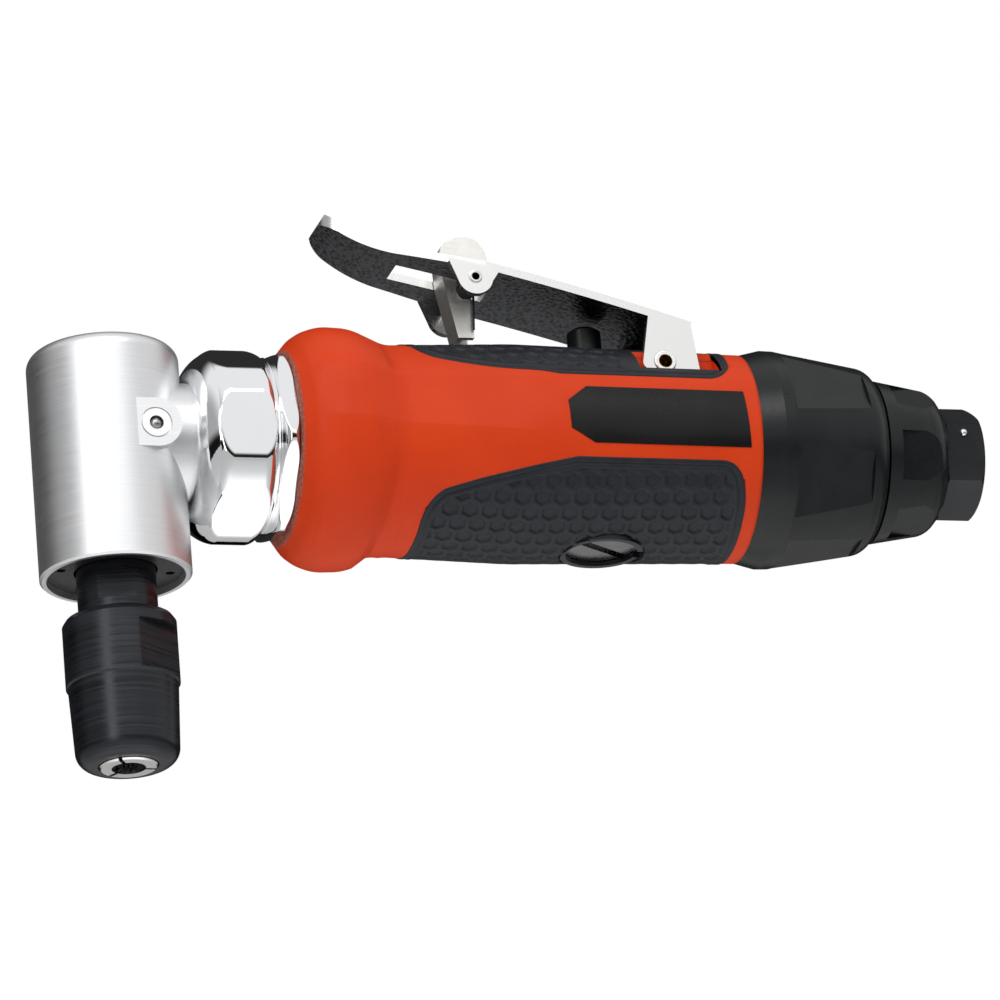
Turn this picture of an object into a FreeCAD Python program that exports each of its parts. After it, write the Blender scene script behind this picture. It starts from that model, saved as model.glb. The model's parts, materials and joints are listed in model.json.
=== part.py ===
import FreeCAD, Part
import Sketcher
import math
import os

# Right-angle air die grinder. Millimetres. World origin: centre of the collet mouth,
# +Z up the spindle, +X along the handle to the air inlet.
# Most sub-parts are drawn in a frame on the handle's axis, axis_height above the origin.

Vector = FreeCAD.Vector
Rotation = FreeCAD.Rotation

doc = FreeCAD.newDocument("die_grinder")
sheet = doc.addObject("Spreadsheet::Sheet", "dims")

DIMENSIONS = (
    # general
    ("axis_height", 59.5),        # handle axis above the collet mouth
    ("running_gap", 0.05),        # radial clearance of a running fit
    # angle head
    ("head_radius", 13.3),
    ("head_top", 16.75),
    ("head_bottom", -24.8),
    ("head_lip_radius", 12.1),
    ("cavity_radius", 10.6),
    ("neck_radius", 10.2),
    ("neck_collar_radius", 11.0),
    ("neck_bore_radius", 8.0),
    ("neck_end", 39.5),
    ("boss_x", 5.8),
    ("boss_z", -0.5),
    ("boss_radius", 4.45),
    ("boss_face", 13.1),
    ("fitting_radius", 2.8),
    # spindle bearings, world heights
    ("low_bearing_radius", 11.0),
    ("low_bearing_z0", 39.0),
    ("low_bearing_z1", 45.0),
    ("top_bearing_radius", 8.0),
    ("top_bearing_z0", 67.5),
    ("top_bearing_z1", 72.5),
    ("low_journal_radius", 5.0),
    ("top_journal_radius", 3.0),
    ("gear_seat_radius", 4.0),
    # spindle nose, collet and its nut, world heights
    ("nose_radius", 6.95),
    ("nose_end", 8.0),
    ("collet_bore_radius", 3.0),
    ("collet_length", 19.0),
    ("nut_end", 0.4),
    ("nut_step", 15.0),
    ("nut_top", 26.9),
    ("nut_low_radius", 9.1),
    ("nut_high_radius", 9.95),
    ("nut_flat", 8.4),
    # bevel gears
    ("gear_pitch_radius", 8.1),
    ("pinion_pitch_radius", 5.4),
    ("gear_face_width", 3.2),
    ("gear_tooth_height", 1.5),
    ("pinion_shaft_radius", 4.0),
    ("pinion_shaft_end", 38.2),
    # nuts between head and handle
    ("clamp_hex_radius", 18.48),
    ("jam_hex_radius", 17.9),
    ("clamp_nut_x0", 13.4),
    ("clamp_nut_x1", 26.4),
    ("jam_nut_x0", 26.5),
    ("jam_nut_x1", 30.5),
    # handle
    ("handle_x0", 30.6),
    ("handle_x1", 113.4),
    ("bulge_radius", 21.5),
    ("waist_x", 48.8),
    ("waist_radius", 18.55),
    ("belly_x", 72.0),
    ("belly_radius", 19.3),
    ("handle_end_radius", 18.4),
    ("motor_bore_radius", 15.0),
    ("motor_bore_end", 80.0),
    ("grip_x0", 51.3),
    ("grip_x1", 111.0),
    ("grip_depth", 1.3),
    ("grip_proud", 0.1),
    ("label_depth", 0.8),
    # motor
    ("front_plate_x0", 40.0),
    ("cylinder_x0", 45.5),
    ("cylinder_x1", 73.5),
    ("rear_plate_x1", 79.0),
    ("motor_radius", 14.95),
    ("chamber_radius", 12.6),
    ("chamber_offset", -1.2),
    ("rotor_radius", 11.2),
    ("rotor_shaft_radius", 4.0),
    ("rotor_tail_radius", 2.5),
    # throttle
    ("valve_x", 87.7),
    ("valve_bore_radius", 5.5),
    ("plunger_radius", 3.0),
    ("plunger_top", 24.15),
    ("stem_radius", 1.5),
    ("regulator_radius", 7.0),
    ("lever_pin_x", 99.0),
    ("lever_pin_z", 14.05),
    ("lever_pin_radius", 2.0),
    ("lever_half_width", 10.7),
    ("lever_sheet", 1.4),
    ("latch_pin_x", 65.65),
    ("latch_pin_z", 29.1),
    ("latch_pin_radius", 1.25),
    ("latch_half_width", 2.9),
    ("latch_sheet", 1.2),
    ("slot_half_width", 3.25),
    # rear end
    ("cap_x1", 137.6),
    ("cap_radius", 19.25),
    ("ring_x0", 138.0),
    ("ring_x1", 149.9),
    ("ring_radius", 14.5),
    ("bushing_radius", 8.8),
    ("inlet_x1", 157.2),
    ("inlet_hex_radius", 10.2),
    ("inlet_thread_radius", 5.72),
)


class Dim:
    """A length that carries its value and the spreadsheet expression it comes from."""

    def __init__(self, value, text):
        self.value = value
        self.text = text

    def _join(self, other, sign, result):
        right = other.text if isinstance(other, Dim) else repr(float(other))
        return Dim(result, "(%s %s %s)" % (self.text, sign, right))

    def __add__(self, other):
        return self._join(other, "+", self.value + number(other))

    def __sub__(self, other):
        return self._join(other, "-", self.value - number(other))

    def __mul__(self, other):
        return self._join(other, "*", self.value * number(other))

    def __neg__(self):
        return self * -1


def number(value):
    return value.value if isinstance(value, Dim) else float(value)


D = {}
for row, (alias, value) in enumerate(DIMENSIONS, start=1):
    sheet.set("A%d" % row, alias)
    sheet.set("B%d" % row, repr(float(value)))
    sheet.setAlias("B%d" % row, alias)
    D[alias] = Dim(float(value), "dims." + alias)
doc.recompute()

AXIS = "axis"        # frame on the handle's axis
MOUTH = "mouth"      # frame at the collet mouth


def bind(obj, prop, value):
    """Set a property from a Dim through an expression, or from a plain number."""
    if isinstance(value, Dim):
        obj.setExpression(prop, value.text)
    else:
        setattr(obj, prop, value)


def new_body(label, frame=AXIS):
    body = doc.addObject("PartDesign::Body", label)
    body.Label = label
    if frame == AXIS:
        body.setExpression("Placement.Base.z", D["axis_height"].text)
    return body


def plane_of(body, role):
    for item in body.Origin.OriginFeatures:
        if item.Role == role:
            return item
    raise ValueError(role)


def add_sketch(body, role, offset=0.0):
    count = len(body.Group)
    sketch = body.newObject("Sketcher::SketchObject", "%s_sketch%d" % (body.Name, count))
    sketch.AttachmentSupport = [(plane_of(body, role), "")]
    sketch.MapMode = "FlatFace"
    if isinstance(offset, Dim):
        sketch.setExpression("AttachmentOffset.Base.z", offset.text)
    elif offset:
        sketch.AttachmentOffset = FreeCAD.Placement(Vector(0, 0, offset), Rotation())
    return sketch


def arc_middle(start, end, radius):
    """Point half way along the short arc; with a positive radius it lies on the right."""
    chord = end - start
    half = chord.Length / 2
    rise = abs(radius) - math.sqrt(radius * radius - half * half)
    right = Vector(chord.y, -chord.x, 0).normalize()
    return (start + end) * 0.5 + right * math.copysign(rise, radius)


def place_point(sketch, geometry, position, point):
    """Fix one sketch point by its two distances from the sketch origin."""
    for axis, coordinate in zip(("DistanceX", "DistanceY"), point[:2]):
        if isinstance(coordinate, Dim) or abs(coordinate) > 1e-9:
            index = sketch.addConstraint(
                Sketcher.Constraint(axis, -1, 1, geometry, position, number(coordinate)))
            if isinstance(coordinate, Dim):
                sketch.setExpression("Constraints[%d]" % index, coordinate.text)
        else:
            line = -2 if axis == "DistanceX" else -1
            sketch.addConstraint(Sketcher.Constraint("PointOnObject", geometry, position, line))


def outline(sketch, points):
    """Closed outline. Each point is (x, y) or (x, y, radius): an arc leads to that point."""
    vectors = [Vector(number(p[0]), number(p[1]), 0) for p in points]
    ends = []
    for index, point in enumerate(points):
        start, end = vectors[index - 1], vectors[index]
        if len(point) == 3:
            middle = arc_middle(start, end, number(point[2]))
            geometry = sketch.addGeometry(Part.Arc(start, middle, end), False)
            forward = sketch.getPoint(geometry, 1).distanceToPoint(start) < 1e-6
            ends.append((geometry, 1 if forward else 2, 2 if forward else 1))
            sketch.addConstraint(Sketcher.Constraint("Radius", geometry, abs(number(point[2]))))
        else:
            geometry = sketch.addGeometry(Part.LineSegment(start, end), False)
            ends.append((geometry, 1, 2))
    for index, point in enumerate(points):
        following = ends[(index + 1) % len(points)]
        sketch.addConstraint(Sketcher.Constraint(
            "Coincident", ends[index][0], ends[index][2], following[0], following[1]))
        place_point(sketch, ends[index][0], ends[index][2], point)


def circle(sketch, x, y, radius):
    centre = Vector(number(x), number(y), 0)
    geometry = sketch.addGeometry(Part.Circle(centre, Vector(0, 0, 1), number(radius)), False)
    place_point(sketch, geometry, 3, (x, y))
    index = sketch.addConstraint(Sketcher.Constraint("Radius", geometry, number(radius)))
    if isinstance(radius, Dim):
        sketch.setExpression("Constraints[%d]" % index, radius.text)


def spun(body, points, axis="H_Axis", cut=False):
    """Turned solid, or turned groove, about the sketch's horizontal or vertical axis."""
    sketch = add_sketch(body, "XZ_Plane")
    outline(sketch, points)
    doc.recompute()
    kind = "PartDesign::Groove" if cut else "PartDesign::Revolution"
    feature = body.newObject(kind, "%s_turn%d" % (body.Name, len(body.Group)))
    feature.Profile = sketch
    feature.ReferenceAxis = (sketch, [axis])
    feature.Angle = 360
    return feature


def extruded(body, role, shapes, length=None, offset=0.0, cut=False, both=False, back=False):
    """Pad or pocket from a sketch; a shape is a list of points or a (x, y, radius) circle."""
    sketch = add_sketch(body, role, offset)
    for shape in shapes:
        if isinstance(shape, tuple):
            circle(sketch, *shape)
        else:
            outline(sketch, shape)
    doc.recompute()
    kind = "PartDesign::Pocket" if cut else "PartDesign::Pad"
    feature = body.newObject(kind, "%s_pad%d" % (body.Name, len(body.Group)))
    feature.Profile = sketch
    if length is None:
        feature.Type = "ThroughAll"
    else:
        bind(feature, "Length", length)
    if both:
        feature.SideType = "Symmetric"
    # a pocket cuts against the sketch normal unless reversed; a pad adds along it
    feature.Reversed = back
    return feature


def around(body, feature, role, count):
    """Repeat one feature evenly about an origin axis of its body."""
    pattern = body.newObject("PartDesign::PolarPattern", "%s_polar%d" % (body.Name, len(body.Group)))
    pattern.Originals = [feature]
    pattern.Axis = (plane_of(body, role), [""])
    pattern.Angle = 360
    pattern.Occurrences = count
    body.Tip = pattern
    return pattern


def edge_names(shape, chooser):
    return ["Edge%d" % (i + 1) for i, edge in enumerate(shape.Edges) if chooser(edge)]


def smoothed(body, chooser, size, kind="PartDesign::Fillet"):
    """Fillet or chamfer the edges of the body's tip that the chooser picks."""
    doc.recompute()
    base = body.Tip
    names = edge_names(base.Shape, chooser)
    if not names:
        raise ValueError("no edge to smooth on " + body.Label)
    feature = body.newObject(kind, "%s_edge%d" % (body.Name, len(body.Group)))
    feature.Base = (base, names)
    if kind == "PartDesign::Fillet":
        feature.Radius = size
    else:
        feature.Size = size
    return feature


def ring_edge(x=None, z=None, radius=None):
    """Chooser for a full circle by its centre along X or Z and its radius."""
    def chosen(edge):
        curve = edge.Curve
        if curve.TypeId != "Part::GeomCircle":
            return False
        if x is not None and abs(curve.Center.x - number(x)) > 0.02:
            return False
        if z is not None and abs(curve.Center.z - number(z)) > 0.02:
            return False
        return radius is None or abs(curve.Radius - number(radius)) < 0.02
    return chosen


def tube(label, x0, x1, outer, inner, frame=AXIS, axis="H_Axis"):
    """Plain ring: along X with H_Axis, along Z with V_Axis."""
    body = new_body(label, frame)
    if axis == "H_Axis":
        corners = [(x0, inner), (x1, inner), (x1, outer), (x0, outer)]
    else:
        corners = [(inner, x0), (outer, x0), (outer, x1), (inner, x1)]
    spun(body, corners, axis)
    return body


def hexagon(corner, turn=0.0):
    """Hexagon points; with turn 0 two corners lie on the sketch's vertical axis."""
    angles = [math.radians(30 + 60 * k + turn) for k in range(6)]
    return [(corner * math.cos(a), corner * math.sin(a)) for a in angles]


nodes = {}


def keep(obj, label=None):
    label = label or obj.Label
    obj.Label = label
    nodes[label] = obj
    return obj


# ---------------------------------------------------------------- angle head
head = new_body("head_housing")
spun(head, [(0, D["head_bottom"]), (D["head_radius"], D["head_bottom"]),
            (D["head_radius"], D["head_top"]), (0, D["head_top"])], "V_Axis")
smoothed(head, ring_edge(z=D["head_top"]), 2.6)
smoothed(head, ring_edge(z=D["head_bottom"]), 0.4, "PartDesign::Chamfer")
spun(head, [(0, 0), (D["neck_end"], 0), (D["neck_end"], D["neck_radius"]),
            (15.4, D["neck_radius"]), (15.4, D["neck_collar_radius"]),
            (0, D["neck_collar_radius"])])
boss_low = D["boss_z"] - D["boss_radius"]
boss_high = D["boss_z"] + D["boss_radius"]
extruded(head, "XZ_Plane",
         [[(0, boss_low), (D["boss_x"], boss_low), (D["boss_x"], boss_high), (0, boss_high)]],
         D["boss_face"])
extruded(head, "XZ_Plane", [(D["boss_x"], D["boss_z"], D["boss_radius"])], D["boss_face"])
spun(head, [(0, -30), (D["head_lip_radius"] + 0.2, -30), (D["head_lip_radius"], -24.2),
            (D["head_lip_radius"], -20.5), (D["low_bearing_radius"], -20.5),
            (D["low_bearing_radius"], -14.0), (D["cavity_radius"], -14.0),
            (D["cavity_radius"], 7.5), (D["top_bearing_radius"], 8.0),
            (D["top_bearing_radius"], 13.6), (0, 13.6)], "V_Axis", cut=True)
spun(head, [(2, 0), (45, 0), (45, D["neck_bore_radius"]), (2, D["neck_bore_radius"])], cut=True)
extruded(head, "XZ_Plane", [(5.7, -0.6, D["fitting_radius"])], 3.0, offset=D["boss_face"], cut=True)
keep(head)

fitting = new_body("grease_fitting")
extruded(fitting, "XZ_Plane", [(5.7, -0.6, D["fitting_radius"]), (5.7, -0.6, 1.25)], 2.9,
         offset=D["boss_face"] - 2.9)
extruded(fitting, "XZ_Plane", [(5.7, -0.6, 2.2)], 0.5, offset=D["boss_face"] - 2.9)
# fine groove round the rim of the face
extruded(fitting, "XZ_Plane", [(5.7, -0.6, 3.5), (5.7, -0.6, 2.55)], 0.5, offset=D["boss_face"],
         cut=True)
keep(fitting)

ball = doc.addObject("Part::Sphere", "fitting_ball")
ball.Radius = 1.2
ball.Placement.Base = Vector(5.7, 0, 0)
ball.setExpression("Placement.Base.y", "-(dims.boss_face - 1.1)")
ball.setExpression("Placement.Base.z", "dims.axis_height - 0.6")
keep(ball)

keep(tube("bearing_top", D["top_bearing_z0"], D["top_bearing_z1"], D["top_bearing_radius"],
          D["top_journal_radius"] + 0.03, MOUTH, "V_Axis"))
keep(tube("bearing_bottom", D["low_bearing_z0"], D["low_bearing_z1"], D["low_bearing_radius"],
          D["low_journal_radius"] + 0.03, MOUTH, "V_Axis"))

retainer = tube("bearing_retainer", 36.0, D["low_bearing_z0"], D["head_lip_radius"], 7.3,
                MOUTH, "V_Axis")
spanner_hole = extruded(retainer, "XY_Plane", [(9.7, 0, 0.8)], 2.0, offset=36.0, cut=True, back=True)
around(retainer, spanner_hole, "Z_Axis", 4)
keep(retainer)

spindle = new_body("spindle", MOUTH)
spun(spindle, [(0, 34.0), (3.3, 33.0), (3.3, 20.5), (4.35, 20.0), (5.35, D["nose_end"]),
               (D["nose_radius"] - 0.6, D["nose_end"]), (D["nose_radius"], D["nose_end"] + 0.6),
               (D["nose_radius"], D["low_bearing_z0"] - 0.1),
               (D["low_journal_radius"], D["low_bearing_z0"] - 0.1),
               (D["low_journal_radius"], 50.0), (D["gear_seat_radius"], 50.0),
               (D["gear_seat_radius"], 55.6), (D["top_journal_radius"], 55.6),
               (D["top_journal_radius"], 72.3), (0, 72.3)], "V_Axis")
flat = extruded(spindle, "XY_Plane", [[(-8, 6.1), (8, 6.1), (8, 9), (-8, 9)]], 5.4,
                offset=29.2, cut=True, back=True)
around(spindle, flat, "Z_Axis", 2)
spindle.Placement.Rotation = Rotation(Vector(0, 0, 1), -14)
keep(spindle)

collet = new_body("collet", MOUTH)
bore = D["collet_bore_radius"]
spun(collet, [(bore, 0), (4.8, 0), (5.1, 0.3), (5.1, 2.0), (6.2, 4.6), (6.2, 7.2),
              (5.25, 7.8), (4.3, D["collet_length"]), (bore, D["collet_length"])], "V_Axis")
slit = extruded(collet, "XY_Plane", [[(0, -0.35), (8, -0.35), (8, 0.35), (0, 0.35)]], 14.0,
                cut=True, back=True)
around(collet, slit, "Z_Axis", 3)
keep(collet)

nut = new_body("collet_nut", MOUTH)
thread = D["nose_radius"] + D["running_gap"]
spun(nut, [(5.3, D["nut_end"]), (6.4, D["nut_end"]), (D["nut_low_radius"], 3.1, 2.9),
           (9.6, D["nut_step"] - 0.3), (D["nut_high_radius"], D["nut_step"]),
           (D["nut_high_radius"], D["nut_top"] - 0.9), (D["nut_high_radius"] - 0.6, D["nut_top"]),
           (thread, D["nut_top"]), (thread, 7.3), (6.45, 6.8), (6.45, 4.6), (5.3, 2.0)], "V_Axis")
flat = extruded(nut, "XY_Plane",
                [[(-8, D["nut_flat"]), (8, D["nut_flat"]), (8, 12), (-8, 12)]], 9.0,
                offset=D["nut_step"] + 0.3, cut=True, back=True)
around(nut, flat, "Z_Axis", 2)
nut.Placement.Rotation = Rotation(Vector(0, 0, 1), 38)
keep(nut)


# ---------------------------------------------------------------- bevel gears
def bevel(label, teeth, pitch_radius, apex_distance, back, bore_radius, tail=None):
    """Straight bevel gear on local +Z, its pitch cone's apex at the local origin.

    tail is a list of (radius, z) points of the hub or shaft behind the gear.
    """
    angle = math.atan2(pitch_radius, apex_distance)
    outer = math.hypot(pitch_radius, apex_distance)
    inner = outer - D["gear_face_width"].value
    shrink = inner / outer
    along = Vector(math.sin(angle), 0, math.cos(angle))
    outward = Vector(math.cos(angle), 0, -math.sin(angle))
    height = D["gear_tooth_height"].value
    dedendum = 0.57 * height
    addendum = height - dedendum
    root_outer = along * outer - outward * dedendum
    root_inner = along * inner - outward * (dedendum * shrink)
    profile = [Vector(bore_radius, 0, root_inner.z), root_inner, root_outer,
               Vector(root_outer.x - 0.6, 0, root_outer.z + back)]
    profile += [Vector(r, 0, z) for r, z in tail]
    profile.append(Vector(bore_radius, 0, tail[-1][1]))
    profile.append(profile[0])
    solid = Part.Face(Part.makePolygon(profile)).revolve(Vector(), Vector(0, 0, 1), 360)
    half_root = 0.33 * math.pi * pitch_radius / teeth
    half_tip = 0.16 * math.pi * pitch_radius / teeth

    def section(distance, scale):
        low = along * distance - outward * ((dedendum + 0.25) * scale)
        high = along * distance + outward * (addendum * scale)
        wide = Vector(0, half_root * scale, 0)
        narrow = Vector(0, half_tip * scale, 0)
        return Part.makePolygon([low - wide, high - narrow, high + narrow, low + wide, low - wide])

    tooth = Part.makeLoft([section(outer - 0.05, 1.0), section(inner + 0.05, shrink)], True, True)
    ring = []
    for k in range(teeth):
        copy = tooth.copy()
        copy.rotate(Vector(), Vector(0, 0, 1), 360.0 * k / teeth)
        ring.append(copy)
    feature = doc.addObject("Part::Feature", label)
    feature.Shape = solid.fuse(ring).removeSplitter()
    return feature


gear_r = D["gear_pitch_radius"].value
pinion_r = D["pinion_pitch_radius"].value
apex = Vector(0, 0, D["axis_height"].value)
gear = bevel("bevel_gear", 18, gear_r, pinion_r, 1.4, D["gear_seat_radius"].value,
             [(6.2, pinion_r + 2.4), (6.2, 9.5)])
# the gear hangs below the apex, a tooth gap facing the pinion
gear.Placement = FreeCAD.Placement(
    apex, Rotation(Vector(0, 0, 1), 10).multiply(Rotation(Vector(1, 0, 0), 180)))
keep(gear)

shaft_r = D["pinion_shaft_radius"].value
shaft_end = D["pinion_shaft_end"].value
pinion = bevel("pinion_shaft", 12, pinion_r, gear_r, 1.6, 0.0,
               [(shaft_r + 0.9, 12.9), (shaft_r, 12.9), (shaft_r, shaft_end),
                (2.0, shaft_end), (2.0, shaft_end + 4.5)])
pinion.Placement = FreeCAD.Placement(apex, Rotation(Vector(0, 1, 0), 90))
keep(pinion)

bearing_bore = D["pinion_shaft_radius"] + 0.03
keep(tube("pinion_bearing_front", 13.1, 18.1, D["neck_bore_radius"], bearing_bore))
keep(tube("pinion_bearing_rear", 31.5, 36.5, D["neck_bore_radius"], bearing_bore))

# ---------------------------------------------------------------- nuts on the neck
clamp = new_body("clamp_nut")
extruded(clamp, "YZ_Plane", [hexagon(D["clamp_hex_radius"], 6.0)],
         D["clamp_nut_x1"] - D["clamp_nut_x0"], offset=D["clamp_nut_x0"])
spun(clamp, [(13.0, 11.4), (D["clamp_nut_x0"], 11.9), (16.5, 16.0, -7.0), (18.6, 17.05, -4.0),
             (24.4, 17.05), (26.5, 15.9, -3.2), (27.0, 15.9), (27.0, 24), (13.0, 24)], cut=True)
spun(clamp, [(13.0, 0), (27.0, 0), (27.0, D["neck_radius"] + 0.02),
             (15.45, D["neck_radius"] + 0.02), (15.45, D["neck_collar_radius"] + 0.05),
             (13.0, D["neck_collar_radius"] + 0.05)], cut=True)
keep(clamp)

jam = new_body("jam_nut")
extruded(jam, "YZ_Plane", [hexagon(D["jam_hex_radius"], -17.0)],
         D["jam_nut_x1"] - D["jam_nut_x0"], offset=D["jam_nut_x0"])
spun(jam, [(26.4, 13.6), (26.5, 15.2), (27.3, 15.9, -1.0), (27.5, 15.6), (28.6, 17.4, -4.0),
           (29.4, 17.6, -3.0), (30.6, 15.4, -3.6), (31.0, 15.4), (31.0, 24), (26.4, 24)], cut=True)
extruded(jam, "YZ_Plane", [(0, 0, D["neck_radius"] + 0.02)], cut=True, both=True)
keep(jam)

keep(tube("neck_adapter", 30.7, 39.4, D["motor_bore_radius"], D["neck_radius"] + 0.02))

# ---------------------------------------------------------------- handle
HANDLE_PROFILE = [
    (D["handle_x0"], 16.6), (33.3, 20.0), (37.2, D["bulge_radius"]), (42.4, 21.3),
    (D["waist_x"], D["waist_radius"]), (D["belly_x"], D["belly_radius"]),
    (D["handle_x1"], D["handle_end_radius"])]


def skin_band(body, below, above, x0, x1):
    """Turned band that follows the handle's surface from x0 to x1."""
    rise = (D["belly_radius"] - D["waist_radius"]).value / (D["belly_x"] - D["waist_x"]).value
    fall = ((D["handle_end_radius"] - D["belly_radius"]).value
            / (D["handle_x1"] - D["belly_x"]).value)
    front = D["belly_radius"] + (x0 - D["belly_x"]) * rise
    back = D["belly_radius"] + (x1 - D["belly_x"]) * fall
    middle = (D["belly_x"], D["belly_radius"])
    if x0.value < middle[0].value:
        spun(body, [(x0, front - below), (middle[0], middle[1] - below), (x1, back - below),
                    (x1, back + above), (middle[0], middle[1] + above), (x0, front + above)])
    else:
        front = D["belly_radius"] + (x0 - D["belly_x"]) * fall
        spun(body, [(x0, front - below), (x1, back - below), (x1, back + above),
                    (x0, front + above)])


# outlines in side view: x along the handle, z above its axis
LOWER_GRIP = [
    (52.2, -30.0), (111.3, -30.0), (111.2, -14.0), (110.3, -9.6, 14.0), (105.7, -6.4, 5.0),
    (79.5, -6.5), (71.5, -8.2), (62.4, -10.2), (56.2, -11.8), (52.3, -16.5, 6.5)]
TOP_GRIP = [
    (51.4, 17.9), (56.3, 12.9, 12.0), (74.3, 9.1, 60.0), (77.8, 8.45), (105.2, 8.45),
    (109.8, 12.2, 4.4), (110.4, 16.5), (110.4, 30.0), (51.4, 30.0)]
LABEL = [(78.3, 3.2), (78.5, -2.0), (82.7, -4.5), (111.2, -4.5), (110.6, 6.1), (81.9, 6.1)]
NOTCH = [(93.0, 11.0), (108.0, 11.0), (108.0, 30.0), (93.0, 30.0)]


def grip_blank(label, shape, below, above, x0, x1):
    body = new_body(label)
    skin_band(body, below, above, x0, x1)
    frame = [(40, -45), (125, -45), (125, 45), (40, 45)]
    extruded(body, "XZ_Plane", [frame, shape], cut=True, both=True)
    return body


def cut_notches(body):
    """Room beside the boss for the lever's rear ears, open to the outside."""
    for start in (28.9, -8.9):
        extruded(body, "XZ_Plane", [NOTCH], 20.0, offset=start, cut=True)


lower_grip = grip_blank("lower_grip", LOWER_GRIP, D["grip_depth"], D["grip_proud"],
                        D["grip_x0"], D["grip_x1"])
extruded(lower_grip, "XY_Plane", [(D["valve_x"], 0, D["regulator_radius"] + 0.5)], 40.0, cut=True)
top_grip = grip_blank("top_grip", TOP_GRIP, D["grip_depth"], D["grip_proud"],
                      D["grip_x0"], D["grip_x1"])
extruded(top_grip, "XY_Plane", [(D["valve_x"], 0, D["plunger_radius"] + 0.5)], 40.0,
         cut=True, back=True)
extruded(top_grip, "XZ_Plane", [(D["lever_pin_x"], D["lever_pin_z"], D["lever_pin_radius"])],
         cut=True, both=True)
cut_notches(top_grip)

label = new_body("label_plate")
skin_band(label, D["label_depth"], 0.1, D["grip_x0"] + 26.0, D["grip_x1"] + 0.5)
extruded(label, "XZ_Plane", [[(40, -45), (125, -45), (125, 45), (40, 45)], LABEL],
         cut=True, both=True)
extruded(label, "XZ_Plane", [[(40, -30), (125, -30), (125, 30), (40, 30)]], 30.0,
         cut=True)

shell = new_body("handle_blank")
spun(shell, [(D["handle_x0"], D["motor_bore_radius"])] + HANDLE_PROFILE
     + [(D["handle_x1"], 9.5), (99.0, 9.5), (99.0, 4.5), (84.0, 4.5), (84.0, 0.0),
        (D["motor_bore_end"], 0.0), (D["motor_bore_end"], D["motor_bore_radius"])])
smoothed(shell, ring_edge(x=33.3), 3.0)
smoothed(shell, ring_edge(x=37.2), 5.0)
smoothed(shell, ring_edge(x=42.4), 6.0)
smoothed(shell, ring_edge(x=D["waist_x"]), 5.0)
extruded(shell, "XY_Plane", [(D["valve_x"], 0, D["valve_bore_radius"])], cut=True, both=True)
extruded(shell, "XY_Plane", [(D["valve_x"], 0, D["regulator_radius"] + 0.4)], 20.0,
         offset=-15.0, cut=True)
extruded(shell, "YZ_Plane", [(14.3, 3.4, 1.7), (14.3, -3.4, 1.7), (-14.3, 3.4, 1.7),
                             (-14.3, -3.4, 1.7)], 40.0, offset=78.0, cut=True, back=True)
extruded(shell, "YZ_Plane", [(0, 9.3, 2.2)], 6.0, offset=79.0, cut=True, back=True)
extruded(shell, "XZ_Plane", [(D["lever_pin_x"], D["lever_pin_z"], D["lever_pin_radius"])],
         cut=True, both=True)
cut_notches(shell)

handle = doc.addObject("Part::Cut", "handle_housing")
handle.Base = shell
inlays = doc.addObject("Part::Compound", "inlays")
inlays.Links = [lower_grip, top_grip, label]
handle.Tool = inlays
keep(handle)
keep(lower_grip)
keep(top_grip)
keep(label)

# ---------------------------------------------------------------- air motor
motor_r = D["motor_radius"]
front_plate = new_body("front_end_plate")
spun(front_plate, [(D["front_plate_x0"], D["neck_bore_radius"]),
                   (D["cylinder_x0"] - 0.8, D["neck_bore_radius"]), (D["cylinder_x0"] - 0.8, 5.2),
                   (D["cylinder_x0"], 5.2), (D["cylinder_x0"], motor_r),
                   (D["front_plate_x0"], motor_r)])
extruded(front_plate, "YZ_Plane", [(0, 13.2, 0.9)], 4.0, offset=D["cylinder_x0"], cut=True)
keep(front_plate)
keep(tube("rotor_bearing_front", 40.1, 44.7, D["neck_bore_radius"], D["rotor_shaft_radius"] + 0.03))

cylinder = new_body("motor_cylinder")
length = D["cylinder_x1"] - D["cylinder_x0"]
extruded(cylinder, "YZ_Plane", [(0, 0, motor_r), (0, D["chamber_offset"], D["chamber_radius"]),
                                (0, 13.2, 0.9)], length, offset=D["cylinder_x0"])
extruded(cylinder, "XY_Plane", [(54, 0, 1.6), (60, 0, 1.6), (66, 0, 1.6)], 20.0, cut=True)
keep(cylinder)

rear_plate = new_body("rear_end_plate")
spun(rear_plate, [(D["cylinder_x1"], 3.2), (D["cylinder_x1"] + 0.9, 3.2),
                  (D["cylinder_x1"] + 0.9, 6.5), (D["rear_plate_x1"], 6.5),
                  (D["rear_plate_x1"], motor_r), (D["cylinder_x1"], motor_r)])
extruded(rear_plate, "YZ_Plane", [(0, 13.2, 0.9)], 4.0, offset=D["cylinder_x1"], cut=True,
         back=True)
extruded(rear_plate, "YZ_Plane", [(0, 9.3, 1.8)], cut=True, both=True)
keep(rear_plate)
keep(tube("rotor_bearing_rear", 74.5, 78.9, 6.5, D["rotor_tail_radius"] + 0.03))

pin = doc.addObject("Part::Cylinder", "locating_pin")
pin.Radius = 0.9
pin.setExpression("Height", "dims.cylinder_x1 - dims.cylinder_x0 + 7.6")
pin.Placement = FreeCAD.Placement(Vector(0, 0, 0), Rotation(Vector(0, 1, 0), 90))
pin.setExpression("Placement.Base.x", "dims.cylinder_x0 - 3.8")
pin.setExpression("Placement.Base.z", "dims.axis_height + 13.2")
keep(pin)

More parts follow.
